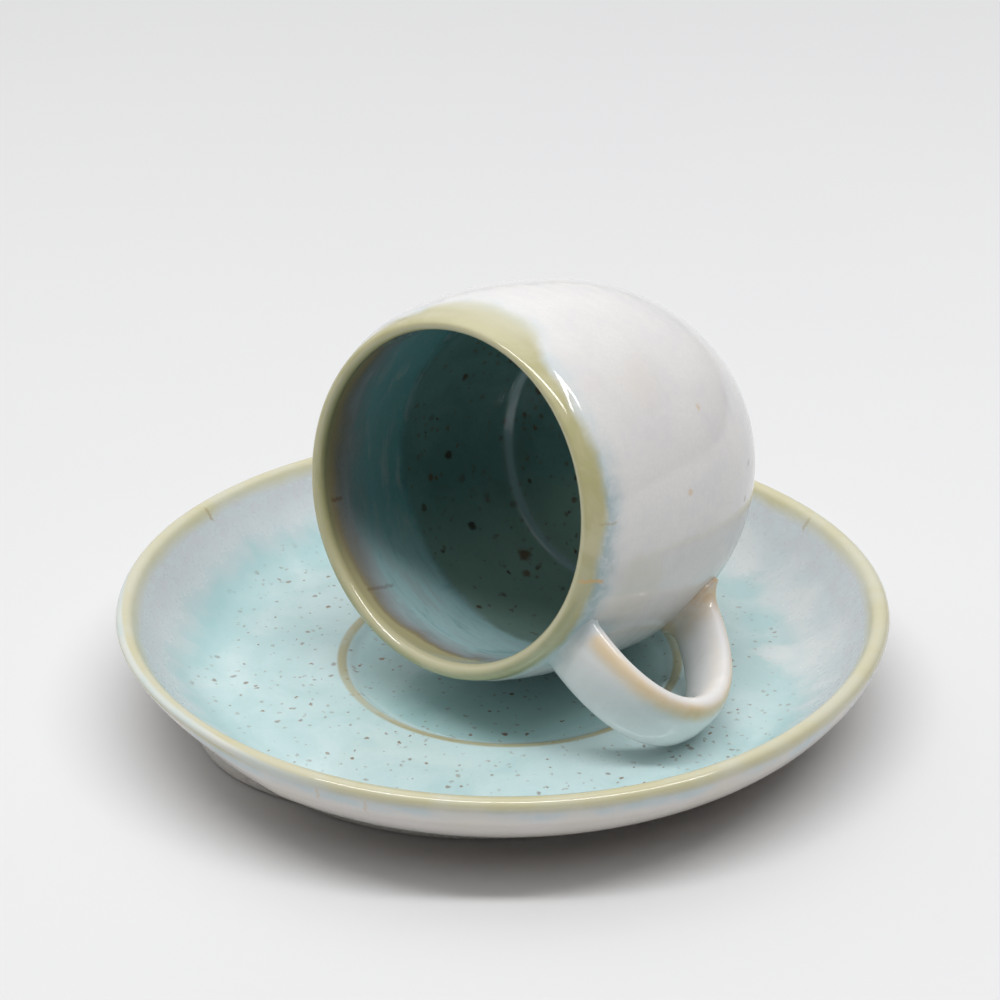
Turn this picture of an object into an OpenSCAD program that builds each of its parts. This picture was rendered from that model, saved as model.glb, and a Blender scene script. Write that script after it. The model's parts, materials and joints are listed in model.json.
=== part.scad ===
// Thrown stoneware espresso cup, lying on its side on its saucer.
// Millimetres, +Z up. The origin is on the table, under the middle of the saucer.

/* [Cup] */
// Height of the cup from its foot to the top of its lip
cup_height = 52.4; // [46:0.2:64]
// Outside diameter of the mouth, at the lip
mouth_diameter = 56.2; // [46:0.2:60]
// Outside diameter of the belly, at its widest
belly_diameter = 62; // [60:0.5:76]
// Height of the widest part of the belly above the foot
belly_height = 29.4; // [24:0.2:36]
// Diameter of the body where it meets the foot ring
base_diameter = 47.5; // [44:0.5:54]
// Fullness of the curve from the belly up to the lip
upper_fullness = 2.2; // [1.8:0.1:3]
// Fullness of the curve from the belly down to the foot
lower_fullness = 2.4; // [1.8:0.1:3]
// Thickness of the wall at the belly
wall = 3; // [2.4:0.1:5]
// Thickness of the rounded lip
lip_thickness = 2.8; // [1.8:0.1:3.6]

/* [Cup floor and foot] */
// Height of the wall's inner end above the foot
floor_height = 8.8; // [7:0.1:11]
// Inside diameter where the wall ends at the floor
floor_diameter = 45; // [38:0.5:48]
// Depth of the step down from the wall's end to the floor
floor_step = 0.8; // [0.4:0.1:1.4]
// Width of the step down to the floor
floor_step_width = 3.2; // [2:0.1:5]
// Outside diameter of the foot ring
foot_diameter = 43; // [34:0.5:44]
// Width of the foot ring
foot_width = 4; // [2.5:0.1:6]
// Height of the foot ring
foot_height = 2.2; // [1.6:0.1:3]
// Depth of the turned hollow inside the foot ring
foot_hollow = 1.6; // [1:0.1:2.4]

/* [Handle] */
// How far the middle of the upper joint lies below the top of the lip
handle_drop = 5.6; // [5.2:0.1:12]
// Height of the middle of the lower joint above the foot
handle_bottom = 16; // [13:0.2:22]
// How far the strap is pulled straight out at the upper joint
top_pull = 22.3; // [18:0.1:28]
// How far the strap rises as it leaves the upper joint
top_rise = 0.3; // [-2:0.1:3]
// How far the strap is pulled straight out at the lower joint
bottom_pull = 25.5; // [20:0.1:30]
// How far the strap rises as it leaves the lower joint
bottom_rise = 9.7; // [6:0.1:12]
// Width of the strap at the upper joint
strap_top_width = 11.4; // [9:0.2:14]
// Width of the strap at the lower joint
strap_bottom_width = 9.8; // [7:0.2:12]
// Thickness of the strap
strap_thickness = 4.3; // [3.2:0.1:5]
// How far the clay swells round each joint
joint_swell = 1; // [0.4:0.1:1.4]

/* [Saucer] */
// Diameter of the saucer over its lip
saucer_diameter = 123; // [116:0.5:136]
// Height of the saucer's lip above the table
saucer_height = 17.4; // [15:0.2:21]
// Height of the flat part round the well above the table
plate_height = 5.8; // [5.2:0.1:7]
// Thickness of the saucer's rounded lip
rim_thickness = 3; // [2.4:0.1:4]
// Diameter at which the rim begins to rise from the flat part
rim_start_diameter = 90; // [88:0.5:94]
// Diameter of the well's edge
well_diameter = 54; // [48:0.5:60]
// Depth of the well below the flat part
well_depth = 1.2; // [0.5:0.1:1.5]
// Height of the underside above the table, outside the foot ring
under_height = 2.8; // [2:0.1:3.2]
// Diameter at which the underside begins to rise to the rim
under_diameter = 96; // [95:0.5:102]

/* [Saucer foot] */
// Outside diameter of the saucer's foot ring
saucer_foot_diameter = 88; // [78:0.5:88]
// Width of the saucer's foot ring
saucer_foot_width = 4; // [3:0.1:6]
// Depth of the turned hollow inside the saucer's foot ring
saucer_foot_hollow = 1.4; // [1:0.1:1.8]
// How far the foot ring was turned off centre
saucer_foot_shift = 3.4; // [0:0.1:3.8]
// Direction in which the foot ring lies off centre, in degrees from +X
saucer_foot_shift_angle = 237; // [0:1:360]

/* [Pose] */
// How far the mouth leans up from level as the cup lies on its side
lean = 11.7; // [6:0.1:16]
// How far the middle of the cup's foot lies behind the middle of the saucer
foot_back = 35.6; // [33:0.1:37]
// How far the cup's axis lies to the right of the middle of the saucer
axis_right = 1.6; // [-3:0.1:4]
// Room between the resting cup and the saucer
rest_clearance = 0.2; // [0.15:0.05:0.5]

/* [Hidden] */
$fn = 128;

cup_colour = "#e6e3e0";
saucer_colour = "#a9cdcb";

// Steps in each drawn curve and in each rounded edge
curve_steps = 10;
edge_steps = 6;
// Rounding of small turned edges
edge_round = 0.6;

// A curve from a to d, pulled towards b as it leaves and towards c as it arrives
function bend(a, b, c, d, t) =
    pow(1 - t, 3) * a + 3 * t * pow(1 - t, 2) * b + 3 * t * t * (1 - t) * c + pow(t, 3) * d;
// Direction of that curve on its way
function bend_way(a, b, c, d, t) =
    unit(pow(1 - t, 2) * (b - a) + 2 * t * (1 - t) * (c - b) + t * t * (d - c));
function curve(a, b, c, d, steps = curve_steps) = [for (i = [0 : steps]) bend(a, b, c, d, i / steps)];
// The inner points of a half round over a middle, from its left to its right
function crown(middle, r) =
    [for (i = [1 : 2 * edge_steps - 1]) let (a = 180 - 90 * i / edge_steps) middle + r * [cos(a), sin(a)]];
function backwards(points) = [for (i = [len(points) - 1 : -1 : 0]) points[i]];
function unit(v) = v / norm(v);
function shares(span, pull) = [span[0] * pull[0], span[1] * pull[1]];

// Radii and heights of the saucer
rim_round = rim_thickness / 2;
rim_r = saucer_diameter / 2;
rim_z = saucer_height - rim_round;
well_r = well_diameter / 2;
well_z = plate_height - well_depth;
saucer_foot_r = saucer_foot_diameter / 2;
saucer_foot_inner_r = saucer_foot_r - saucer_foot_width;
// The foot is one with the plate up to halfway through the well's thickness
saucer_foot_top = (under_height + well_z) / 2;

// Ends of the saucer's curves
rim_start = [rim_start_diameter / 2, plate_height];
rim_inner = [rim_r - rim_thickness, rim_z];
rim_outer = [rim_r, rim_z];
under_start = [under_diameter / 2, under_height];
// How the rim is drawn: shares of each curve's run and rise by which its ends are pulled
inner_low_pull = [0.42, 0];
inner_high_pull = [0.26, 0.5];
outer_high_pull = [0.05, 0.36];
outer_low_pull = [0.33, 0.7];
inner_span = rim_inner - rim_start;
outer_span = rim_outer - under_start;

// Half of the saucer's section: the upper face out to the lip, then the underside back in
top_line = concat(
    [[0, well_z]],
    curve([well_r - 2 * well_depth, well_z], [well_r - well_depth, well_z],
        [well_r - well_depth / 2, plate_height], [well_r + well_depth / 2, plate_height], edge_steps),
    curve(rim_start, rim_start + shares(inner_span, inner_low_pull),
        rim_inner - shares(inner_span, inner_high_pull), rim_inner));
saucer_section = concat(
    top_line,
    crown([rim_r - rim_round, rim_z], rim_round),
    curve(rim_outer, rim_outer - shares(outer_span, outer_high_pull),
        rim_outer - shares(outer_span, outer_low_pull), under_start),
    [[0, under_height]]);
// Height of the saucer's upper face at a distance from its middle
function saucer_top(r) = lookup(r, top_line);

// The foot ring with the turned hollow inside it, reaching up into the plate
saucer_foot_section = [
    [0, saucer_foot_hollow],
    [saucer_foot_inner_r - edge_round, saucer_foot_hollow],
    [saucer_foot_inner_r, saucer_foot_hollow - edge_round],
    [saucer_foot_inner_r, edge_round / 2],
    [saucer_foot_inner_r + edge_round / 2, 0],
    [saucer_foot_r - edge_round, 0],
    [saucer_foot_r, edge_round],
    [saucer_foot_r, saucer_foot_top],
    [0, saucer_foot_top]];

// Radii and heights of the cup
mouth_r = mouth_diameter / 2;
mouth_inner_r = mouth_r - lip_thickness;
belly_r = belly_diameter / 2;
belly_inner_r = belly_r - wall;
base_r = base_diameter / 2;
foot_r = foot_diameter / 2;
foot_inner_r = foot_r - foot_width;
floor_r = floor_diameter / 2;
floor_z = floor_height - floor_step;
lip_round = lip_thickness / 2;
lip_z = cup_height - lip_round;

// How far the wall's curve is drawn above the belly, and below it: at 1 it would turn square to the axis
upper_turn = 0.475;
lower_turn = 0.72;
// How far a rounded curve has drawn in at a distance along it, from 0 at its start to 1 where it turns square
function drawn_in(along, fullness) = 1 - pow(1 - pow(along, fullness), 1 / fullness);
// Radius at a share of the way from the belly to the end of the wall
function wall_r(belly, end, share, turn, fullness) =
    belly + (end - belly) * drawn_in(turn * share, fullness) / drawn_in(turn, fullness);
// Radius of a face of the wall at a height above the foot
function wall_at(z, belly, top_r, low_r, low_z) = z > belly_height
    ? wall_r(belly, top_r, (z - belly_height) / (lip_z - belly_height), upper_turn, upper_fullness)
    : wall_r(belly, low_r, (belly_height - z) / (belly_height - low_z), lower_turn, lower_fullness);
function outside_r(z) = wall_at(z, belly_r, mouth_r, base_r, foot_height);
function inside_r(z) = wall_at(z, belly_inner_r, mouth_inner_r, floor_r, floor_height);
// Heights in equal steps from low to belly, then from belly to lip
function wall_levels(low) = concat(
    [for (i = [0 : curve_steps]) low + (belly_height - low) * i / curve_steps],
    [for (i = [1 : curve_steps]) belly_height + (lip_z - belly_height) * i / curve_steps]);

// Half of the cup's section, from the middle of the hollow foot round to the middle of the floor
foot_line = [
    [0, foot_hollow],
    [foot_inner_r - edge_round, foot_hollow],
    [foot_inner_r, foot_hollow - edge_round],
    [foot_inner_r, edge_round / 2],
    [foot_inner_r + edge_round / 2, 0],
    [foot_r - edge_round / 2, 0],
    [foot_r, edge_round / 2],
    [foot_r, foot_height - edge_round]];
outside_line = [for (z = wall_levels(foot_height)) [outside_r(z), z]];
inside_line = [for (z = wall_levels(floor_height)) [inside_r(z), z]];
step_line = curve(
    [floor_r - edge_round, floor_height - edge_round / 2],
    [floor_r - 2 * edge_round, floor_height - edge_round],
    [floor_r - floor_step_width / 2, floor_z],
    [floor_r - floor_step_width, floor_z], edge_steps);
cup_section = concat(
    foot_line,
    outside_line,
    backwards(crown([mouth_r - lip_round, lip_z], lip_round)),
    backwards(inside_line),
    step_line,
    [[0, floor_z]]);

// The strap's middle line in the plane of the handle, from the upper joint to the lower one
handle_top = cup_height - handle_drop;
joint_a = [outside_r(handle_top), handle_top];
joint_b = [outside_r(handle_bottom), handle_bottom];
pull_a = joint_a + [top_pull, top_rise];
pull_b = joint_b + [bottom_pull, bottom_rise];
// Rings along the strap and points round each ring
strap_rings = 40;
strap_sides = 24;
// Squareness of the strap's section: 2 is an ellipse
strap_square = 2.5;
// Share of the strap over which it turns flush with the wall, and over which it swells
flush_share = 0.34;
swell_share = 0.14;
// Least share of its thickness that the strap keeps where it leans into a joint
least_lean = 0.6;
// Sizes of the rings of an end face, against its outer one
end_sizes = [1 / 3, 2 / 3, 1];
// Half of the height over which the wall's direction is taken
feel = 0.1;

// How far along the strap a ring lies, with the rings closer together towards the joints
function along(i) = (1 - cos(180 * i / strap_rings)) / 2;
// 1 at a joint, easing to 0 at a share of the way from it
function near_joint(t, share) = pow(max(0, 1 - min(t, 1 - t) / share), 2);
// Direction of the wall at a height, pointing up
function wall_way(z) = unit([outside_r(z + feel) - outside_r(z - feel), 2 * feel]);
// Step through the strap's thickness towards its outer face, longer where the strap is cut aslant
function strap_out(t) =
    let (way = bend_way(joint_a, pull_a, pull_b, joint_b, t))
    let (square = [-way[1], way[0]])
    let (flush = t < 0.5 ? wall_way(handle_top) : -wall_way(handle_bottom))
    let (share = near_joint(t, flush_share))
    let (out = unit(share * flush + (1 - share) * square))
    out / max(least_lean, out * square);
function rounded(c) = sign(c) * pow(abs(c), 2 / strap_square);
// One ring of the strap, drawn smaller for the inside of an end face
function strap_ring(t, size = 1) =
    let (middle = bend(joint_a, pull_a, pull_b, joint_b, t))
    let (out = strap_out(t))
    let (swell = joint_swell * near_joint(t, swell_share))
    let (half_width = (strap_top_width * (1 - t) + strap_bottom_width * t) / 2 + swell)
    let (half_thickness = strap_thickness / 2 + swell)
    [for (k = [0 : strap_sides - 1])
        let (a = 360 * k / strap_sides)
        let (p = middle + size * half_thickness * rounded(sin(a)) * out)
        [p[0], size * half_width * rounded(cos(a)), p[1]]];
// A point brought straight in or out on to the cup's wall
function on_wall(p) =
    let (flat = outside_r(p[2]) * unit([p[0], p[1]]))
    [flat[0], flat[1], p[2]];
function end_ring(t, size) = [for (p = strap_ring(t, size)) on_wall(p)];

// The strap's points: each end face lies on the wall, as rings round a middle point
strap_points = concat(
    [on_wall([joint_a[0], 0, joint_a[1]])],
    [for (size = end_sizes) each end_ring(0, size)],
    [for (i = [1 : strap_rings - 1]) each strap_ring(along(i))],
    [for (size = backwards(end_sizes)) each end_ring(1, size)],
    [on_wall([joint_b[0], 0, joint_b[1]])]);
all_rings = strap_rings - 1 + 2 * len(end_sizes);
last_point = all_rings * strap_sides + 1;
function ring_point(i, k) = 1 + i * strap_sides + k % strap_sides;
strap_faces = concat(
    [for (k = [0 : strap_sides - 1]) [0, ring_point(0, k), ring_point(0, k + 1)]],
    [for (i = [0 : all_rings - 2], k = [0 : strap_sides - 1])
        [ring_point(i, k), ring_point(i + 1, k), ring_point(i + 1, k + 1)]],
    [for (i = [0 : all_rings - 2], k = [0 : strap_sides - 1])
        [ring_point(i, k), ring_point(i + 1, k + 1), ring_point(i, k + 1)]],
    [for (k = [0 : strap_sides - 1])
        [last_point, ring_point(all_rings - 1, k + 1), ring_point(all_rings - 1, k)]]);

// A point of the cup, turned by a roll about its axis and laid down, before it is raised on to the saucer
function laid(p, roll) =
    let (side = p[0] * cos(roll) - p[1] * sin(roll))
    let (over = p[0] * sin(roll) + p[1] * cos(roll))
    [axis_right + side,
     foot_back + over * sin(lean) - p[2] * cos(lean),
     over * cos(lean) + p[2] * sin(lean)];
// Least height of laid points over the saucer's upper face
function least_room(points) = min([for (p = points) p[2] - saucer_top(norm([p[0], p[1]]))]);
// The cup rests on the lowest line of its wall
foot_middle_z = rest_clearance - least_room([for (q = outside_line) laid([0, -q[0], q[1]], 0)]);
// It rolls on its side until the strap rests on the saucer too: the angles to look between, and the halvings
deep_roll = -80;
shallow_roll = 10;
roll_halvings = 20;
function strap_room(roll) = foot_middle_z + least_room([for (p = strap_points) laid(p, roll)]);
function find_roll(deep, shallow, tries) =
    let (middle = (deep + shallow) / 2)
    tries == 0 ? shallow
        : strap_room(middle) < rest_clearance ? find_roll(middle, shallow, tries - 1)
        : find_roll(deep, middle, tries - 1);
cup_roll = find_roll(deep_roll, shallow_roll, roll_halvings);

// Lays the cup in its place on the saucer
module lay_cup() {
    translate([axis_right, foot_back, foot_middle_z])
        rotate([90 - lean, 0, 0])
            rotate([0, 0, cup_roll])
                children();
}

module cup_body() {
    color(cup_colour)
        lay_cup()
            rotate_extrude()
                polygon(cup_section);
}

module cup_handle() {
    color(cup_colour)
        lay_cup()
            polyhedron(strap_points, strap_faces, convexity = 4);
}

module saucer() {
    color(saucer_colour) {
        rotate_extrude()
            polygon(saucer_section);
        rotate([0, 0, saucer_foot_shift_angle])
            translate([saucer_foot_shift, 0, 0])
                rotate_extrude()
                    polygon(saucer_foot_section);
    }
}

cup_body();
cup_handle();
saucer();
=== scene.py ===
"""Looks of a thrown stoneware espresso cup that lies on its side on its saucer."""

import json
import math

import bpy
import numpy as np
from mathutils import Matrix, Vector


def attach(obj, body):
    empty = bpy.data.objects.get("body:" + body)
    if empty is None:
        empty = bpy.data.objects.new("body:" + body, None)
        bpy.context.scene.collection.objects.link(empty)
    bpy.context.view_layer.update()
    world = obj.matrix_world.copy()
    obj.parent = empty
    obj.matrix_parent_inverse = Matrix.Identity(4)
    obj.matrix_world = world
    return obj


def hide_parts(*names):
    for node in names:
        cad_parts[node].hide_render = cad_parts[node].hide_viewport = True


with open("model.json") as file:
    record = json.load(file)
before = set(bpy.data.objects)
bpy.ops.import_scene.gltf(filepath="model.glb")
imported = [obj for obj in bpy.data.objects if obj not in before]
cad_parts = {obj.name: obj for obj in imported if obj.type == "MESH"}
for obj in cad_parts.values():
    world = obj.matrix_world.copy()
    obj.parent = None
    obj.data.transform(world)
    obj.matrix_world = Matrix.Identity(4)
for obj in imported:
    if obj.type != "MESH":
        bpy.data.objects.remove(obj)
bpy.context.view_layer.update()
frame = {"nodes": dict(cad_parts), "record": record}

MM = 0.001

# Cup, in millimetres above its foot and out from its axis, as the solids have them
CUP_HEIGHT = 52.4
MOUTH_R = 28.1
BELLY_R = 31.0
BELLY_HEIGHT = 29.4
BASE_R = 23.75
UPPER_FULLNESS = 2.2
LOWER_FULLNESS = 2.4
UPPER_TURN = 0.475
LOWER_TURN = 0.72
WALL = 3.0
LIP_THICKNESS = 2.8
FLOOR_HEIGHT = 8.8
FLOOR_R = 22.5
FLOOR_STEP = 0.8
FLOOR_STEP_WIDTH = 3.2
FOOT_R = 21.5
FOOT_WIDTH = 4.0
FOOT_HEIGHT = 2.2
FOOT_HOLLOW = 1.6
LIP_Z = CUP_HEIGHT - LIP_THICKNESS / 2

# Strap of the handle
HANDLE_TOP = CUP_HEIGHT - 5.6
HANDLE_BOTTOM = 16.0
TOP_PULL = (22.3, 0.3)
BOTTOM_PULL = (25.5, 9.7)
STRAP_TOP_WIDTH = 11.4
STRAP_BOTTOM_WIDTH = 9.8
STRAP_THICKNESS = 4.3
STRAP_SQUARE = 2.25
FLUSH_SHARE = 0.34
LEAST_LEAN = 0.6

# Saucer, in millimetres above the table and out from its middle
SAUCER_R = 61.5
SAUCER_HEIGHT = 17.4
PLATE_HEIGHT = 5.8
RIM_THICKNESS = 3.0
RIM_START_R = 45.0
WELL_R = 27.0
WELL_DEPTH = 1.2
UNDER_HEIGHT = 2.8
UNDER_R = 48.0
SAUCER_FOOT_R = 44.0
SAUCER_FOOT_WIDTH = 4.0
SAUCER_FOOT_HOLLOW = 1.4
SAUCER_FOOT_SHIFT = 3.4
SAUCER_FOOT_ANGLE = math.radians(237)
EDGE = 0.6

# How the lathed pieces are drawn: points round, and millimetres between rings
POINTS_ROUND = 288
RING_STEP = 0.5
# Millimetres over which the glaze and the sponge wore the corners round
CUP_WEAR = 0.28
SAUCER_WEAR = 0.22
FOOT_WEAR = 0.12


# Shapes of the thrown walls


def drawn_in(along, fullness):
    return 1 - (1 - along**fullness) ** (1 / fullness)


def wall_r(z, belly, top_r, low_r, low_z):
    """Radius of a face of the cup's wall at a height above its foot."""
    if z > BELLY_HEIGHT:
        share = (z - BELLY_HEIGHT) / (LIP_Z - BELLY_HEIGHT)
        end, turn, fullness = top_r, UPPER_TURN, UPPER_FULLNESS
    else:
        share = (BELLY_HEIGHT - z) / (BELLY_HEIGHT - low_z)
        end, turn, fullness = low_r, LOWER_TURN, LOWER_FULLNESS
    return belly + (end - belly) * drawn_in(turn * share, fullness) / drawn_in(turn, fullness)


def outside_r(z):
    return wall_r(z, BELLY_R, MOUTH_R, BASE_R, FOOT_HEIGHT)


def inside_r(z):
    return wall_r(z, BELLY_R - WALL, MOUTH_R - LIP_THICKNESS, FLOOR_R, FLOOR_HEIGHT)


def on_bend(a, b, c, d, t):
    """A share of the way from a to d, on a curve pulled towards b and c."""
    return (1 - t) ** 3 * a + 3 * t * (1 - t) ** 2 * b + 3 * t * t * (1 - t) * c + t**3 * d


def bend(points, steps):
    """A curve from the first point to the last, pulled towards the two between."""
    a, b, c, d = (np.array(p, float) for p in points)
    return on_bend(a, b, c, d, np.linspace(0, 1, steps + 1)[:, None])


def squared(values, power):
    """Cosines or sines of a round, made squarer by a power over 2 and more pinched by one under 2."""
    return np.sign(values) * np.abs(values) ** (2 / power)


def crown(middle_r, middle_z, r, power=2.0, steps=16):
    """A half round from its outer side over the top to its inner side."""
    a = np.linspace(0, math.pi, steps + 1)
    across, up = squared(np.cos(a), power), squared(np.sin(a), power)
    return np.stack([middle_r + r * across, middle_z + r * up], 1)


def run_along(path):
    """Way along a path to each of its points."""
    return np.concatenate([[0], np.cumsum(np.linalg.norm(np.diff(path, axis=0), axis=1))])


def spaced(path, step):
    """The path as points one step apart."""
    run = run_along(path)
    at = np.linspace(0, run[-1], int(run[-1] / step) + 1)
    return np.stack([np.interp(at, run, path[:, k]) for k in range(2)], 1)


def softened(path, reach, step):
    """The path with its corners worn round over a reach, as points one step apart."""
    fine = 0.05
    dense = spaced(np.asarray(path, float), fine)
    half = int(3 * reach / fine)
    weight = np.exp(-0.5 * (np.arange(-half, half + 1) * fine / reach) ** 2)
    weight /= weight.sum()
    before = 2 * dense[0] - dense[half:0:-1]
    after = 2 * dense[-1] - dense[-2 : -half - 2 : -1]
    longer = np.concatenate([before, dense, after])
    soft = np.stack([np.convolve(longer[:, k], weight, "valid") for k in range(2)], 1)
    soft[0, 0] = soft[-1, 0] = 0
    return spaced(soft, step)


def run_from_crest(path):
    """Way along the path from its highest point: below 0 after the crest, above 0 before it."""
    run = run_along(path)
    return run[np.argmax(path[:, 1])] - run


def set_down(name, data):
    """A new object of the scene."""
    thing = bpy.data.objects.new(name, data)
    bpy.context.scene.collection.objects.link(thing)
    return thing


def make_piece(name, points, faces, material, **marks):
    """A mesh in metres, smooth, with a value or a direction of each mark at each point."""
    mesh = bpy.data.meshes.new(name)
    mesh.from_pydata(np.asarray(points).tolist(), [], faces)
    mesh.polygons.foreach_set("use_smooth", [True] * len(mesh.polygons))
    for mark, values in marks.items():
        values = np.asarray(values, np.float32)
        kind, field = ("FLOAT", "value") if values.ndim == 1 else ("FLOAT_VECTOR", "vector")
        mesh.attributes.new(mark, kind, "POINT").data.foreach_set(field, values.ravel())
    mesh.materials.append(material)
    mesh.validate()
    return set_down(name, mesh)


def lathe(name, path, shape, place, material):
    """Turns a path from axis to axis into a closed piece.

    shape gives the place of a radius, height, angle and run, as the hands left it.
    """
    run = run_from_crest(path)
    angle = np.linspace(0, 2 * math.pi, POINTS_ROUND, endpoint=False)
    rings = path[1:-1]
    r, z, a = rings[:, :1], rings[:, 1:], angle[None, :]
    x, y, h = shape(r, z, a, run[1:-1, None])
    body = np.stack([x, y, h], -1).reshape(-1, 3)
    first, last = (np.ravel(shape(*path[k], 0.0, run[k])) for k in (0, -1))
    local = np.concatenate([[first], body, [last]])
    points = [(place @ Vector(p * MM))[:] for p in local]
    n, tip = POINTS_ROUND, len(local) - 1
    faces = [(0, 1 + (k + 1) % n, 1 + k) for k in range(n)]
    for i in range(len(rings) - 1):
        low, high = 1 + i * n, 1 + (i + 1) * n
        faces += [(low + k, low + (k + 1) % n, high + (k + 1) % n, high + k) for k in range(n)]
    top = 1 + (len(rings) - 1) * n
    faces += [(top + k, top + (k + 1) % n, tip) for k in range(n)]
    round_run = np.concatenate([[run[0]], np.repeat(run[1:-1], n), [run[-1]]]) * MM
    turn = np.stack([np.tile(np.cos(angle), len(rings)), np.tile(np.sin(angle), len(rings))], 1)
    turn = np.concatenate([[[0, 0]], turn, [[0, 0]]])
    turn = np.concatenate([turn, round_run[:, None]], 1)
    return make_piece(name, points, faces, material, run=round_run, turn=turn)


# Node trees


class Bench:
    """One node tree, with short ways to lay nodes in it and to join them."""

    def __init__(self, tree):
        self.tree = tree
        tree.nodes.clear()

    def feed(self, socket, value):
        if isinstance(value, bpy.types.NodeSocket):
            self.tree.links.new(value, socket)
        else:
            socket.default_value = value

    def lay(self, kind, settings=None, **fed):
        node = self.tree.nodes.new("ShaderNode" + kind)
        for name, value in (settings or {}).items():
            setattr(node, name, value)
        for name, value in fed.items():
            self.feed(node.inputs[name.replace("_", " ")], value)
        return node

    def math(self, operation, *values):
        node = self.lay("Math", {"operation": operation})
        for socket, value in zip(node.inputs, values):
            self.feed(socket, value)
        return node.outputs[0]

    def times(self, a, b, plus=None):
        """a times b, plus a third value where there is one."""
        return self.math("MULTIPLY", a, b) if plus is None else self.math("MULTIPLY_ADD", a, b, plus)

    def apart(self, a, b):
        return self.math("ABSOLUTE", self.math("SUBTRACT", a, b))

    def facing(self, vector, direction):
        """How far a vector points in a direction."""
        node = self.lay("VectorMath", {"operation": "DOT_PRODUCT"})
        self.feed(node.inputs[0], vector)
        node.inputs[1].default_value = direction
        return node.outputs["Value"]

    def stretch(self, vector, factors):
        node = self.lay("VectorMath", {"operation": "MULTIPLY"})
        self.feed(node.inputs[0], vector)
        node.inputs[1].default_value = factors
        return node.outputs[0]

    def ease(self, value, start, end, low=0.0, high=1.0):
        """Low up to the start, high from the end on, and an easy curve between."""
        node = self.lay("MapRange", {"interpolation_type": "SMOOTHSTEP"}, Value=value)
        for name, number in (("From Min", start), ("From Max", end), ("To Min", low), ("To Max", high)):
            self.feed(node.inputs[name], number)
        return node.outputs[0]

    def mix(self, share, a, b, way="MIX"):
        node = self.lay("Mix", {"data_type": "RGBA", "blend_type": way})
        for index, value in ((0, share), (6, a), (7, b)):
            self.feed(node.inputs[index], value)
        return node.outputs[2]

    def noise(self, vector, scale, detail=3.0, roughness=0.5, distortion=0.0):
        node = self.lay("TexNoise", Vector=vector, Scale=scale, Detail=detail)
        self.feed(node.inputs["Roughness"], roughness)
        self.feed(node.inputs["Distortion"], distortion)
        return node.outputs[0]

    def shades(self, value, stops):
        """A run of colours, from (place, colour) pairs."""
        node = self.lay("ValToRGB", Fac=value)
        elements = node.color_ramp.elements
        while len(elements) < len(stops):
            elements.new(0.5)
        for element, (place, colour) in zip(elements, stops):
            element.position = place
            element.color = colour
        return node.outputs[0]

    def mark(self, name, output="Fac"):
        return self.lay("Attribute", {"attribute_name": name}).outputs[output]

    def place(self):
        return self.lay("TexCoord").outputs["Object"]

    def effect(self, group, **fed):
        node = self.tree.nodes.new("ShaderNodeGroup")
        node.node_tree = group
        for name, value in fed.items():
            self.feed(node.inputs[name.replace("_", " ")], value)
        return node.outputs


SOCKETS = {"vector": "NodeSocketVector", "value": "NodeSocketFloat", "colour": "NodeSocketColor"}


def new_effect(name, takes, gives):
    """A node group with named inputs and outputs. Returns its bench, its inputs and its output node."""
    group = bpy.data.node_groups.new(name, "ShaderNodeTree")
    for names, way in ((takes, "INPUT"), (gives, "OUTPUT")):
        for socket, kind in names.items():
            group.interface.new_socket(name=socket, in_out=way, socket_type=SOCKETS[kind])
    bench = Bench(group)
    entry = group.nodes.new("NodeGroupInput")
    leave = group.nodes.new("NodeGroupOutput")
    return bench, entry.outputs, leave.inputs


def mottling():
    """Soft clouds in a glaze, a finer curdle in them and a grain finer still."""
    bench, takes, gives = new_effect(
        "mottling",
        {"Vector": "vector", "Scale": "value"},
        {"Clouds": "value", "Curdle": "value", "Grain": "value"},
    )
    clouds = bench.noise(takes["Vector"], takes["Scale"], 4.0, 0.55, 0.6)
    curdle = bench.noise(takes["Vector"], bench.times(takes["Scale"], 4.5), 4.0, 0.6, 0.3)
    grain = bench.noise(takes["Vector"], bench.times(takes["Scale"], 18.0), 3.0, 0.6)
    bench.feed(gives["Clouds"], bench.ease(clouds, 0.32, 0.68))
    bench.feed(gives["Curdle"], bench.ease(curdle, 0.34, 0.66))
    bench.feed(gives["Grain"], bench.ease(grain, 0.34, 0.66))
    return bench.tree


def iron_specks():
    """Specks of iron that bled through the glaze, each of its own size, in some cells of a net."""
    bench, takes, gives = new_effect(
        "iron specks",
        {"Vector": "vector", "Scale": "value", "Share": "value", "Size": "value"},
        {"Specks": "value"},
    )
    warp = bench.lay("TexNoise", Vector=takes["Vector"], Detail=2.0)
    bench.feed(warp.inputs["Scale"], bench.times(takes["Scale"], 2.2))
    shift = bench.lay("VectorMath", {"operation": "MULTIPLY_ADD"})
    bench.feed(shift.inputs[0], warp.outputs["Color"])
    shift.inputs[1].default_value = (0.0011, 0.0011, 0.0011)
    bench.feed(shift.inputs[2], takes["Vector"])
    cells = bench.lay("TexVoronoi", Vector=shift.outputs[0], Scale=takes["Scale"])
    chance = bench.lay("SeparateColor", Color=cells.outputs["Color"])
    has_one = bench.math("LESS_THAN", chance.outputs[0], takes["Share"])
    own_size = bench.times(chance.outputs[1], 0.8, 0.35)
    size = bench.times(own_size, takes["Size"])
    spot = bench.ease(cells.outputs["Distance"], size, bench.times(size, 0.4))
    strength = bench.times(chance.outputs[2], 0.6, 0.4)
    bench.feed(gives["Specks"], bench.times(bench.times(spot, has_one), strength))
    return bench.tree


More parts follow.
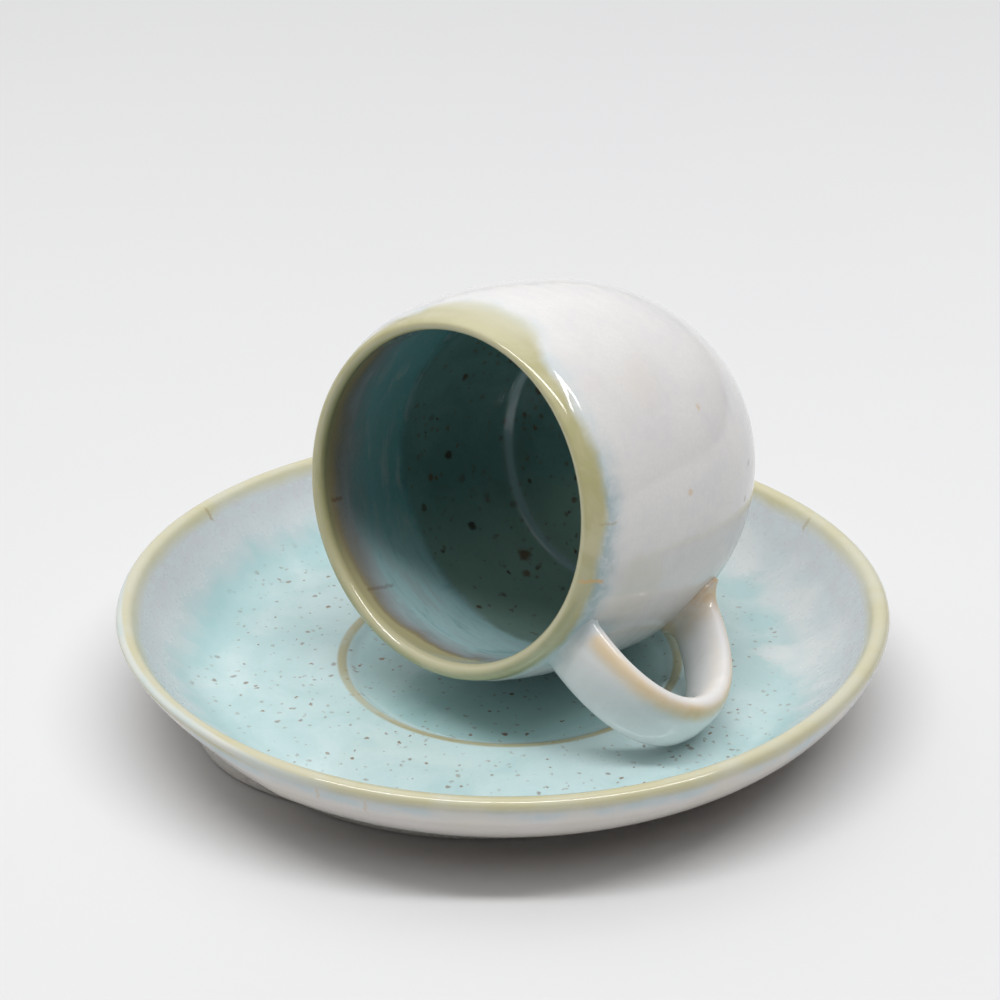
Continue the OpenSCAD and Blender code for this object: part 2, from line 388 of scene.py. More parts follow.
def wavering_edge():
    """0 before an edge and 1 beyond it, where the edge wanders and one glaze bleeds into the other."""
    values = dict.fromkeys(("Way", "Edge", "Softness", "Waver", "Scale"), "value")
    bench, takes, gives = new_effect("wavering edge", {"Vector": "vector", **values}, {"Beyond": "value"})
    wander = bench.noise(takes["Vector"], takes["Scale"], 4.0, 0.55)
    wander = bench.times(bench.math("SUBTRACT", wander, 0.5), takes["Waver"])
    way = bench.math("ADD", takes["Way"], wander)
    start = bench.math("SUBTRACT", takes["Edge"], takes["Softness"])
    end = bench.math("ADD", takes["Edge"], takes["Softness"])
    bench.feed(gives["Beyond"], bench.ease(way, start, end))
    return bench.tree


def glaze_skin():
    """The glassy skin: a slow unevenness, tiny pinholes, and a gloss that varies a little."""
    outcome = {"Height": "value", "Roughness": "value"}
    bench, takes, gives = new_effect("glaze skin", {"Vector": "vector"}, outcome)
    slow = bench.noise(takes["Vector"], 160.0, 2.0, 0.5)
    fine = bench.noise(takes["Vector"], 1100.0, 2.0, 0.5)
    cells = bench.lay("TexVoronoi", Vector=takes["Vector"], Scale=520.0)
    chance = bench.lay("SeparateColor", Color=cells.outputs["Color"])
    rare = bench.math("LESS_THAN", chance.outputs[0], 0.14)
    hole = bench.times(bench.ease(cells.outputs["Distance"], 0.2, 0.05), rare)
    height = bench.times(fine, 0.10, slow)
    bench.feed(gives["Height"], bench.times(hole, -0.25, height))
    bench.feed(gives["Roughness"], bench.ease(fine, 0.25, 0.75, 0.045, 0.10))
    return bench.tree


def spot():
    """One mark round a centre, with a ragged edge."""
    bench, takes, gives = new_effect(
        "spot", {"Vector": "vector", "Centre": "vector", "Size": "value"}, {"Mark": "value"}
    )
    away = bench.lay("VectorMath", {"operation": "DISTANCE"})
    bench.feed(away.inputs[0], takes["Vector"])
    bench.feed(away.inputs[1], takes["Centre"])
    rag = bench.noise(takes["Vector"], bench.math("DIVIDE", 1.6, takes["Size"]), 3.0, 0.6)
    rag = bench.times(rag, 1.4, 0.3)
    way = bench.times(away.outputs["Value"], rag)
    bench.feed(gives["Mark"], bench.ease(way, takes["Size"], bench.times(takes["Size"], 0.35)))
    return bench.tree


def hair_crack():
    """A fine line across a rim: at an angle about the axis, from one way along the wall to another."""
    values = dict.fromkeys(("Way", "Angle", "Start", "End", "Width"), "value")
    bench, takes, gives = new_effect("hair crack", {"Turn": "vector", **values}, {"Mark": "value"})
    turned = bench.lay("VectorRotate", {"rotation_type": "Z_AXIS"}, Vector=takes["Turn"])
    bench.feed(turned.inputs["Angle"], bench.times(takes["Angle"], -1.0))
    parts = bench.lay("SeparateXYZ", Vector=turned.outputs[0])
    wander = bench.noise(takes["Turn"], 9.0, 3.0, 0.6)
    wiggle = bench.lay("TexNoise", {"noise_dimensions": "1D"}, W=takes["Way"], Scale=0.9, Detail=3.0)
    wiggle = bench.math("SUBTRACT", wiggle.outputs[0], 0.5)
    wiggle = bench.times(wiggle, 0.035, parts.outputs["Y"])
    line = bench.ease(bench.math("ABSOLUTE", wiggle), takes["Width"], bench.times(takes["Width"], 0.2))
    before = bench.ease(takes["Way"], takes["Start"], bench.math("ADD", takes["Start"], 1.0))
    after = bench.ease(takes["Way"], takes["End"], bench.math("SUBTRACT", takes["End"], 1.0))
    this_side = bench.math("GREATER_THAN", parts.outputs["X"], 0.0)
    mark = bench.times(bench.times(line, this_side), bench.times(before, after))
    bench.feed(gives["Mark"], bench.times(mark, bench.ease(wander, 0.2, 0.6, 0.5, 1.0)))
    return bench.tree


MOTTLING = mottling()
IRON_SPECKS = iron_specks()
WAVERING_EDGE = wavering_edge()
GLAZE_SKIN = glaze_skin()
SPOT = spot()
HAIR_CRACK = hair_crack()

# Glaze colours
WHITE = (0.815, 0.80, 0.78, 1)
# A brighter white, painted on the strap as painted light
LIT_STRAP_WHITE = (0.92, 0.91, 0.905, 1)
LILAC_WHITE = (0.74, 0.72, 0.725, 1)
CREAM = (0.74, 0.69, 0.61, 1)
BLUE_WHITE = (0.55, 0.66, 0.69, 1)
HAZE_BLUE = (0.36, 0.48, 0.51, 1)
OLIVE = (0.46, 0.43, 0.22, 1)
KHAKI = (0.60, 0.54, 0.29, 1)
STRAW = (0.585, 0.55, 0.35, 1)
PALE_STRAW = (0.62, 0.605, 0.465, 1)
# A darker copy of the olive, for painted shade inside the cup
SHADED_OLIVE = (0.34, 0.31, 0.15, 1)
TAN = (0.42, 0.34, 0.19, 1)
# A darker copy of the tan, for painted shade inside the cup
SHADED_TAN = (0.31, 0.24, 0.13, 1)
WELL_TAN = (0.40, 0.36, 0.19, 1)
OCHRE = (0.70, 0.47, 0.21, 1)
PEACH = (0.84, 0.66, 0.43, 1)
RUST = (0.16, 0.075, 0.035, 1)
SPECK_BROWN = (0.24, 0.13, 0.065, 1)
IRON = (0.05, 0.03, 0.02, 1)
AQUA = (0.465, 0.63, 0.635, 1)
PALE_AQUA = (0.575, 0.71, 0.715, 1)
TURQUOISE = (0.39, 0.60, 0.61, 1)
# A darker aqua for the well: partly the glaze's own deeper colour, partly painted shade under the cup
SHADED_WELL_AQUA = (0.27, 0.47, 0.465, 1)
MILKY = (0.60, 0.67, 0.69, 1)
LILAC_MILK = (0.60, 0.615, 0.64, 1)
FEATHER_WHITE = (0.72, 0.745, 0.74, 1)
LILAC_GREY = (0.47, 0.50, 0.52, 1)
LILAC_BROWN = (0.37, 0.355, 0.30, 1)
# A paler blue, painted as a highlight along the ridge of the cup's floor step
STEP_HIGHLIGHT_BLUE = (0.31, 0.46, 0.52, 1)
PALE_MILK_BLUE = (0.56, 0.82, 0.85, 1)
MILKY_BLUE = (0.46, 0.72, 0.75, 1)
EDGE_BLUE = (0.20, 0.42, 0.45, 1)
# Darker copies of the inside's colours, for painted shade on the cup's upper inside; the teal also colours
# the glaze's dark streaks
SHADED_BROWN = (0.24, 0.22, 0.19, 1)
SHADED_LILAC = (0.25, 0.28, 0.30, 1)
SHADED_BLUE = (0.17, 0.36, 0.39, 1)
SHADED_AND_STREAK_TEAL = (0.13, 0.34, 0.36, 1)
SHADED_EDGE_BLUE = (0.07, 0.20, 0.21, 1)
# A lighter teal, painted on the lower inside of the cup as painted light coming in through the mouth
LIT_LOW_TEAL = (0.44, 0.58, 0.49, 1)
DEEP_TEAL = (0.16, 0.30, 0.285, 1)
DARK_TEAL = (0.10, 0.20, 0.19, 1)
CLAY = (0.78, 0.745, 0.67, 1)
# A dark tone for the saucer's unseen underside, painted to deepen the shade on the table beneath it
DARK_UNDERSIDE = (0.36, 0.31, 0.26, 1)
# Colours inside the cup, by millimetres in from the lip: a lighter run, as painted light, on the lower
# side where light comes in through the mouth, and a darker copy, as painted shade, over the rest, its
# deeper teal partly the glaze's own hue
LIT_SIDE_COLOURS = [
    (0.0, STRAW),
    (2.4, KHAKI),
    (4.0, KHAKI),
    (5.0, TAN),
    (6.0, LILAC_BROWN),
    (8.0, LILAC_GREY),
    (12.0, PALE_MILK_BLUE),
    (18.0, PALE_MILK_BLUE),
    (23.0, MILKY_BLUE),
    (26.0, EDGE_BLUE),
]
SHADED_SIDE_COLOURS = [
    (0.0, STRAW),
    (1.0, OLIVE),
    (2.4, SHADED_OLIVE),
    (4.2, SHADED_TAN),
    (6.0, SHADED_BROWN),
    (9.0, SHADED_LILAC),
    (14.0, SHADED_BLUE),
    (23.0, SHADED_AND_STREAK_TEAL),
    (26.0, SHADED_EDGE_BLUE),
]
TABLE_GREY = (0.74, 0.74, 0.745, 1)
TABLE_WHITE = (0.75, 0.75, 0.75, 1)
LAMP_WHITE = (0.985, 0.99, 1.0, 1)

# How the glaze lies: its index, and the depth in metres of its bump and of the bare clay's
GLAZE_IOR = 1.58
GLAZE_BUMP = 0.00004
CLAY_BUMP = 0.00008
# Millimetres over which the glaze was wiped off beside the cup's standing ring
WIPE_SOFTNESS = 0.4


def side_at(degrees):
    """The direction of an angle about the axis."""
    return Vector((math.cos(math.radians(degrees)), math.sin(math.radians(degrees)), 0))


# The side of the saucer where the milky glaze ran in white tongues
FLAME_SIDE = side_at(48)
# The side where the aqua runs almost up to the rim
CLEAR_SIDE = side_at(-22)
# The side where the straw band reaches further in over the rim, and where a pale strip over the crest is a
# painted reflection
STRAW_AND_REFLECTION_SIDE = side_at(243)


def new_material(name):
    material = bpy.data.materials.new(name)
    material.use_nodes = True
    bench = Bench(material.node_tree)
    return material, bench


def fire(bench, colour, height, roughness):
    """The glaze's own shader: its colour under a glassy skin."""
    bump = bench.lay("Bump", Height=height)
    bump.inputs["Distance"].default_value = GLAZE_BUMP
    shader = bench.lay("BsdfPrincipled", Base_Color=colour, Roughness=roughness, Normal=bump.outputs[0])
    shader.inputs["IOR"].default_value = GLAZE_IOR
    bench.lay("OutputMaterial", Surface=shader.outputs[0])


def white_glaze():
    """The off-white glaze of the outsides, mottled with lilac grey and a little cream."""
    bench, takes, gives = new_effect("white glaze", {"Vector": "vector"}, {"Color": "colour"})
    cloud = bench.effect(MOTTLING, Vector=takes["Vector"], Scale=95.0)
    share = bench.times(cloud["Clouds"], bench.times(cloud["Curdle"], 0.5, 0.3))
    colour = bench.mix(share, WHITE, LILAC_WHITE)
    warm = bench.ease(bench.noise(takes["Vector"], 42.0, 3.0, 0.5), 0.55, 0.75, 0.0, 0.55)
    colour = bench.mix(warm, colour, CREAM)
    colour = bench.mix(bench.times(cloud["Grain"], 0.4), colour, LILAC_WHITE)
    ochre = bench.effect(IRON_SPECKS, Vector=takes["Vector"], Scale=120.0, Share=0.10, Size=0.10)
    colour = bench.mix(bench.times(ochre["Specks"], 0.5), colour, OCHRE)
    grey = bench.effect(IRON_SPECKS, Vector=takes["Vector"], Scale=190.0, Share=0.07, Size=0.13)
    colour = bench.mix(bench.times(grey["Specks"], 0.5), colour, LILAC_GREY)
    bench.feed(gives["Color"], colour)
    return bench.tree


WHITE_GLAZE = white_glaze()


def thrown_ways(bench):
    """Place, turn about the axis, and millimetres out and in from the crest, on a thrown piece."""
    run = bench.mark("run")
    outward, inward = bench.times(run, 1 / MM), bench.times(run, -1 / MM)
    return bench.place(), bench.mark("turn", "Vector"), outward, inward


def along(bench, value, stops):
    """A run of colours laid along a way in millimetres."""
    length = stops[-1][0]
    stops = [(place / length, colour) for place, colour in stops]
    return bench.shades(bench.math("DIVIDE", value, length), stops)


def beyond(bench, place, way, **edge):
    """0 before a wandering edge and 1 beyond it."""
    return bench.effect(WAVERING_EDGE, Vector=place, Way=way, **edge)["Beyond"]


def marked(bench, colour, place, marks):
    """The colour with the marks of the kiln on it."""
    for centre, size, tint, strength in marks:
        mark = bench.effect(SPOT, Vector=place, Centre=centre, Size=size)["Mark"]
        colour = bench.mix(bench.times(mark, strength), colour, tint)
    return colour


def cracked(bench, colour, turn, way, cracks):
    """The colour with hair cracks across the rim."""
    for angle, start, end, width, tint, strength in cracks:
        line = {"Angle": angle, "Start": start, "End": end, "Width": width}
        crack = bench.effect(HAIR_CRACK, Turn=turn, Way=way, **line)["Mark"]
        colour = bench.mix(bench.times(crack, strength), colour, tint)
    return colour


def cup_glaze():
    """White outside, khaki over the lip, lilac and milky blue below it inside and deep teal further in;
    the inside is painted lighter on its lower side and darker elsewhere as painted light and shade, with a
    painted highlight along the floor's step.
    """
    material, bench = new_material("cup glaze")
    place, turn, outward, inward = thrown_ways(bench)
    skin = bench.effect(GLAZE_SKIN, Vector=place)
    cloud = bench.effect(MOTTLING, Vector=place, Scale=120.0)

    white = bench.effect(WHITE_GLAZE, Vector=place)["Color"]
    white = marked(bench, white, place, CUP_OUTSIDE_MARKS)
    sides = bench.lay("SeparateXYZ", Vector=turn)
    high = bench.ease(sides.outputs["Y"], 0.89, 1.0)
    way = bench.times(high, -4.0, outward)
    thick_side = bench.ease(sides.outputs["X"], 0.78, 0.97)
    hazed = bench.times(thick_side, -0.9, way)
    haze = beyond(bench, place, hazed, Edge=5.5, Softness=2.8, Waver=4.0, Scale=170.0)
    hazy = bench.mix(bench.ease(cloud["Clouds"], 0.0, 1.0, 0.35, 0.85), BLUE_WHITE, white)
    blue = bench.times(thick_side, bench.ease(cloud["Curdle"], 0.0, 1.0, 0.45, 0.9))
    hazy = bench.mix(blue, hazy, HAZE_BLUE)
    outside = bench.mix(haze, hazy, white)
    soft = bench.times(high, 1.5, 1.0)
    band = beyond(bench, place, way, Edge=3.7, Softness=soft, Waver=3.2, Scale=130.0)
    khaki = bench.mix(bench.times(cloud["Clouds"], 0.75), OLIVE, STRAW)
    pale = bench.times(high, bench.ease(outward, 2.0, 6.0, 0.0, 0.7))
    khaki = bench.mix(bench.times(high, 0.6), khaki, STRAW)
    khaki = bench.mix(pale, khaki, PALE_STRAW)
    outside = bench.mix(band, khaki, outside)
    ring_start, ring_end = float(STANDING_RUN.min()), float(STANDING_RUN.max())
    wiped = bench.ease(outward, ring_start - WIPE_SOFTNESS, ring_start)
    wiped = bench.times(wiped, bench.ease(outward, ring_end + WIPE_SOFTNESS, ring_end))
    outside = bench.mix(wiped, outside, bench.mix(cloud["Grain"], CLAY, CREAM))

    specks = bench.effect(IRON_SPECKS, Vector=place, Scale=330.0, Share=0.85, Size=0.30)["Specks"]
    deep = bench.mix(bench.times(cloud["Clouds"], 0.5, 0.1), DEEP_TEAL, DARK_TEAL)
    deep = bench.mix(bench.times(cloud["Grain"], 0.25), deep, DARK_TEAL)
    # The lower side of the lying cup; the deep teal and the run from the lip are painted lighter there as
    # painted light
    lit_low_side = bench.ease(bench.times(sides.outputs["Y"], -1.0), 0.35, 0.9)
    deep = bench.mix(bench.times(lit_low_side, 0.45), deep, LIT_LOW_TEAL)
    fine = bench.effect(IRON_SPECKS, Vector=place, Scale=620.0, Share=0.7, Size=0.34)["Specks"]
    deep = bench.mix(bench.times(fine, 0.6), deep, RUST)
    deep = bench.mix(bench.times(specks, 0.9), deep, bench.mix(cloud["Clouds"], IRON, RUST))
    # Painted highlight: a paler blue line along the ridge of the floor's step
    from_step = bench.apart(inward, FLOOR_LINE_RUN)
    deep = bench.mix(bench.ease(from_step, 1.1, 0.2, 0.0, 0.75), deep, STEP_HIGHLIGHT_BLUE)
    deep = marked(bench, deep, place, CUP_INSIDE_MARKS)
    wander = bench.math("SUBTRACT", bench.noise(place, 130.0, 4.0, 0.6, 0.4), 0.5)
    fade = bench.times(wander, bench.ease(inward, 2.0, 10.0, 1.5, 7.0), inward)
    fade = bench.math("SUBTRACT", fade, bench.ease(sides.outputs["X"], -0.5, 0.1, 0.0, 2.4))
    # Painted light and shade: the lighter run for the lit lower side, and a darker copy for the rest of
    # the inside
    pooled = along(bench, fade, LIT_SIDE_COLOURS)
    shaded_copy = along(bench, fade, SHADED_SIDE_COLOURS)
    milk = bench.mix(lit_low_side, shaded_copy, pooled)
    milk = bench.mix(bench.times(cloud["Grain"], 0.10), milk, LILAC_GREY)
    lines = bench.noise(bench.stretch(turn, (3.0, 3.0, 420.0)), 1.0, 4.0, 0.6, 0.5)
    past_lip = bench.ease(inward, 6.0, 11.0, 0.0, 0.35)
    milk = bench.mix(bench.times(bench.ease(lines, 0.5, 0.72), past_lip), milk, LILAC_GREY)
    milk = bench.mix(bench.times(bench.ease(lines, 0.5, 0.28), past_lip), milk, SHADED_AND_STREAK_TEAL)
    ran = bench.times(bench.ease(sides.outputs["Y"], 0.2, 0.9), -6.0, inward)
    overlap = beyond(bench, place, ran, Edge=24.6, Softness=1.0, Waver=6.0, Scale=60.0)
    inside = bench.mix(overlap, milk, deep)

    colour = bench.mix(bench.ease(outward, -0.6, 0.6), inside, outside)
    colour = cracked(bench, colour, turn, outward, CUP_CRACKS)
    fire(bench, colour, skin["Height"], bench.times(wiped, 0.7, skin["Roughness"]))
    return material


def handle_glaze():
    """The white glaze on the strap, broken to ochre along its edges and pooled blue at the lip's joint;
    its white is painted lighter than the cup's, as painted light on its near face.
    """
    material, bench = new_material("handle glaze")
    place = bench.place()
    skin = bench.effect(GLAZE_SKIN, Vector=place)
    cloud = bench.effect(MOTTLING, Vector=place, Scale=140.0)
    colour = bench.effect(WHITE_GLAZE, Vector=place)["Color"]
    way = bench.mark("way")
    pool = beyond(bench, place, way, Edge=0.022, Softness=0.02, Waver=0.04, Scale=300.0)
    pooled = bench.math("SUBTRACT", 1.0, pool)
    # Painted light: the strap's white mixed towards a brighter white
    colour = bench.mix(bench.ease(cloud["Clouds"], 0.0, 1.0, 0.5, 0.9), colour, LIT_STRAP_WHITE)
    colour = bench.mix(bench.times(pooled, 0.5), colour, HAZE_BLUE)
    edge = bench.mark("edge")
    worn = bench.times(edge, bench.times(cloud["Clouds"], 0.30, 0.72))
    worn = bench.times(worn, bench.ease(way, 0.01, 0.05))
    colour = bench.mix(bench.ease(worn, 0.15, 0.9), colour, PEACH)
    colour = bench.mix(bench.ease(worn, 0.75, 1.10, 0.0, 0.4), colour, OCHRE)
    low_joint = bench.ease(way, 0.91, 0.985)
    low_joint = bench.times(low_joint, bench.times(cloud["Clouds"], 0.5, 0.3))
    colour = bench.mix(low_joint, colour, OCHRE)
    fire(bench, colour, skin["Height"], skin["Roughness"])
    return material


def saucer_glaze():
    """Speckled aqua in the middle, milky up the wall, straw over the lip and white below it, with painted
    shade in the well and on the underside, and a painted reflection over the rim's crest on one side.
    """
    material, bench = new_material("saucer glaze")
    place, turn, outward, inward = thrown_ways(bench)
    skin = bench.effect(GLAZE_SKIN, Vector=place)
    cloud = bench.effect(MOTTLING, Vector=place, Scale=85.0)

    aqua = bench.mix(cloud["Clouds"], AQUA, PALE_AQUA)
    aqua = bench.mix(bench.times(cloud["Grain"], 0.15), aqua, TURQUOISE)
    large = bench.effect(IRON_SPECKS, Vector=place, Scale=380.0, Share=0.9, Size=0.22)["Specks"]
    small = bench.effect(IRON_SPECKS, Vector=place, Scale=640.0, Share=0.8, Size=0.30)["Specks"]
    pool = beyond(bench, place, inward, Edge=16.5, Softness=3.5, Waver=16.0, Scale=75.0)
    # Inside the well the aqua is darker: partly the glaze's own deeper colour, partly painted shade where
    # the cup shades the well
    in_well = bench.ease(inward, WELL_LINE_RUN + 0.5, WELL_LINE_RUN + 4.0)
    in_well = bench.times(in_well, bench.ease(cloud["Clouds"], 0.0, 1.0, 0.45, 0.75))
    aqua = bench.mix(in_well, aqua, SHADED_WELL_AQUA)
    aqua = bench.mix(bench.times(small, 0.85), aqua, SPECK_BROWN)
    aqua = bench.mix(bench.times(large, 0.95), aqua, bench.mix(cloud["Clouds"], SPECK_BROWN, RUST))
    middle = bench.mix(pool, TURQUOISE, aqua)

    feather = bench.noise(bench.stretch(turn, (15.0, 15.0, 130.0)), 1.0, 3.0, 0.5, 0.3)
    feather = bench.math("SUBTRACT", feather, 0.5)
    feathered = bench.times(feather, 7.0, inward)
    flame_side = bench.ease(bench.facing(turn, FLAME_SIDE), 0.35, 0.9)
    feathered = bench.times(flame_side, -4.0, feathered)
    clear_side = bench.ease(bench.facing(turn, CLEAR_SIDE), 0.45, 0.95, 0.0, 5.0)
    feathered = bench.math("ADD", feathered, clear_side)
    milk = beyond(bench, place, feathered, Edge=12.5, Softness=4.2, Waver=8.0, Scale=110.0)
    near_rim = bench.ease(inward, 11.0, 6.0, 0.15, 0.85)
    curdled = bench.times(bench.times(cloud["Curdle"], 0.7, 0.3), near_rim)
    milky = bench.mix(curdled, MILKY, LILAC_MILK)
    milky = bench.mix(bench.times(cloud["Grain"], 0.10), milky, LILAC_GREY)
    inside = bench.mix(milk, milky, middle)
    flame = bench.noise(bench.stretch(turn, (7.0, 7.0, 95.0)), 1.0, 3.0, 0.5, 0.6)
    reach = bench.times(bench.ease(inward, 5.0, 9.0), bench.ease(inward, 18.0, 14.0))
    flame = bench.times(bench.ease(flame, 0.44, 0.66), reach)
    flame = bench.times(flame, bench.times(flame_side, 0.45, 0.15))
    inside = bench.mix(flame, inside, FEATHER_WHITE)
    inside = marked(bench, inside, place, SAUCER_MARKS)
    toward_reflection_side = bench.facing(turn, STRAW_AND_REFLECTION_SIDE)
    thick_side = bench.ease(toward_reflection_side, 0.80, 0.96)
    rim_way = bench.times(thick_side, -0.5, inward)
    rim = beyond(bench, place, rim_way, Edge=2.7, Softness=1.3, Waver=2.0, Scale=90.0)
    straw = bench.mix(cloud["Clouds"], STRAW, PALE_STRAW)
    inside = bench.mix(rim, straw, inside)

    white = bench.effect(WHITE_GLAZE, Vector=place)["Color"]
    haze = beyond(bench, place, outward, Edge=4.6, Softness=1.4, Waver=2.4, Scale=90.0)
    white = bench.mix(bench.ease(cloud["Clouds"], 0.0, 1.0, 0.3, 0.7), white, CREAM)
    white = bench.mix(haze, bench.mix(cloud["Clouds"], BLUE_WHITE, white), white)
    under = beyond(bench, place, outward, Edge=2.5, Softness=0.9, Waver=1.6, Scale=90.0)
    outside = bench.mix(under, straw, white)
    # Painted shade: the underside past what shows is made dark, so the shade on the table under the
    # saucer's front comes out deeper
    outside = bench.mix(bench.ease(outward, 14.0, 17.0), outside, DARK_UNDERSIDE)
    colour = bench.mix(bench.ease(outward, -0.3, 0.3), inside, outside)
    # Painted reflection: a pale strip along the rim's crest on that side
    reflection_place = bench.ease(toward_reflection_side, 0.80, 0.97, 1.9, 1.0)
    reflection_strip = bench.ease(bench.apart(outward, reflection_place), 1.0, 0.5, 0.0, 0.65)
    crest = bench.mix(cloud["Clouds"], FEATHER_WHITE, BLUE_WHITE)
    reflection_side = bench.ease(toward_reflection_side, 0.68, 0.84)
    colour = bench.mix(bench.times(reflection_strip, reflection_side), colour, crest)

    from_well = bench.apart(inward, WELL_LINE_RUN)
    line = bench.ease(from_well, 1.05, 0.5)
    line = bench.times(line, bench.ease(cloud["Clouds"], 0.0, 1.0, 0.65, 0.9))
    colour = bench.mix(line, colour, WELL_TAN)
    colour = cracked(bench, colour, turn, outward, SAUCER_CRACKS)
    satin = bench.times(milk, -0.20, 0.22)
    satin = bench.times(satin, rim)
    fire(bench, colour, skin["Height"], bench.math("ADD", skin["Roughness"], satin))
    return material


def bare_clay():
    """The unglazed foot: a dry, buff, grainy body."""
    material, bench = new_material("bare clay")
    place = bench.place()
    cloud = bench.effect(MOTTLING, Vector=place, Scale=300.0)
    colour = bench.mix(cloud["Curdle"], CLAY, WHITE)
    bump = bench.lay("Bump", Height=cloud["Curdle"])
    bump.inputs["Distance"].default_value = CLAY_BUMP
    shader = bench.lay("BsdfPrincipled", Base_Color=colour, Normal=bump.outputs[0])
    shader.inputs["Roughness"].default_value = 0.8
    bench.lay("OutputMaterial", Surface=shader.outputs[0])
    return material


# The cup


mounts = {mount["name"]: mount for mount in frame["record"]["mounts"]}
cup_up = -Vector(mounts["cup_foot"]["axis"]).normalized()
cup_side = Vector((1, 0, 0))
cup_over = cup_up.cross(cup_side)
foot_middle = Vector(mounts["cup_foot"]["pos_m"]) - cup_side * (FOOT_R - FOOT_WIDTH / 2) * MM
CUP_PLACE = Matrix.Translation(foot_middle) @ Matrix((cup_side, cup_over, cup_up)).transposed().to_4x4()


def on_cup(height, angle, radius):
    """A place on the cup's wall, in metres."""
    a = math.radians(angle)
    r = radius(height)
    return CUP_PLACE @ (Vector((r * math.cos(a), r * math.sin(a), height)) * MM)


# Marks of the kiln on the cup: (centre, size in metres, colour, strength)
CUP_OUTSIDE_MARKS = [
    (on_cup(25.3, 35, outside_r), 0.0009, OCHRE, 0.6),
    (on_cup(30.9, 12, outside_r), 0.0008, OCHRE, 0.5),
    (on_cup(12.1, 15, outside_r), 0.0010, LILAC_BROWN, 0.6),
    (on_cup(12.9, 4, outside_r), 0.0008, LILAC_BROWN, 0.6),
    (on_cup(8.5, -21, outside_r), 0.0009, LILAC_BROWN, 0.5),
    (on_cup(46.8, -35, outside_r), 0.0100, BLUE_WHITE, 0.85),
    (on_cup(40.5, -16, outside_r), 0.0080, CREAM, 0.6),
]
CUP_INSIDE_MARKS = [
    (on_cup(11.7, -121, inside_r), 0.0016, RUST, 0.9),
    (on_cup(13.6, -114, inside_r), 0.0010, RUST, 0.8),
    (on_cup(18.4, -167, inside_r), 0.0011, IRON, 0.9),
    (on_cup(17.1, -140, inside_r), 0.0011, IRON, 0.9),
]
# Hair cracks: (angle, start and end in millimetres out from the lip, width as a share of the radius,
# colour, strength)
CUP_CRACKS = [
    (math.radians(-161), -7.5, -3.2, 0.020, RUST, 0.6),
    (math.radians(-127), -12.5, -4.0, 0.018, RUST, 0.6),
    (math.radians(-10), 0.2, 5.5, 0.018, OCHRE, 0.8),
    (math.radians(8), 2.4, 6.5, 0.010, TAN, 0.5),
    (math.radians(-152), 0.0, 3.0, 0.012, TAN, 0.5),
]

# Unevenness left by the hands, in millimetres
MOUTH_SAG = 0.9
SAG_ANGLE = math.radians(-55)
LIP_PINCH = 1.7
# Where the wall swells: angle, height and how far
SWELLS = [(math.radians(33), 17.0, 0.8), (math.radians(137), 40.0, 0.6)]
SWELL_REACH = 13.0
# The lip was drawn thinner on its upper left, for this far down its inside
LIP_THINNING = 0.75
LIP_THINNING_ANGLE = math.radians(130)
LIP_THINNING_REACH = 9.0
THROWING_RIPPLE = 0.008
RIPPLE_PITCH = 3.4
# The white glaze stands this much proud of the band at the lip, and ends this far below the lip's round
GLAZE_STEP = 0.38
GLAZE_STEP_LENGTH = 1.2
GLAZE_THICK_SIDE = math.radians(68)
GLAZE_END = 2.1
# How the glaze's end wanders round the lip: waves in a turn, start and height
GLAZE_WANDER = [(2, 1.0, 0.5), (5, 0.0, 0.35)]
# Millimetres from the lip's crest over which the step and the swells begin
STEP_START = 1.2
SWELL_START = 4.0


def cup_path():
    """Half of the cup's section, from under the foot round over the lip to the middle of the floor."""
    foot_inner = FOOT_R - FOOT_WIDTH
    foot = [
        (0, FOOT_HOLLOW),
        (foot_inner - EDGE, FOOT_HOLLOW),
        (foot_inner, FOOT_HOLLOW - EDGE),
        (foot_inner, EDGE / 2),
        (foot_inner + EDGE / 2, 0),
        (FOOT_R - EDGE / 2, 0),
        (FOOT_R, EDGE / 2),
        (FOOT_R, FOOT_HEIGHT - EDGE),
    ]
    outside = [(outside_r(z), z) for z in np.linspace(FOOT_HEIGHT, LIP_Z, 80)]
    lip = crown(MOUTH_R - LIP_THICKNESS / 2, LIP_Z, LIP_THICKNESS / 2, LIP_PINCH)
    inside = [(inside_r(z), z) for z in np.linspace(LIP_Z, FLOOR_HEIGHT, 70)]
    floor_z = FLOOR_HEIGHT - FLOOR_STEP
    step = bend(
        [
            (FLOOR_R - EDGE, FLOOR_HEIGHT - EDGE / 2),
            (FLOOR_R - 2 * EDGE, FLOOR_HEIGHT - EDGE),
            (FLOOR_R - FLOOR_STEP_WIDTH / 2, floor_z),
            (FLOOR_R - FLOOR_STEP_WIDTH, floor_z),
        ],
        8,
    )
    return np.concatenate([foot, outside, lip[1:-1], inside, step, [(0, floor_z)]])


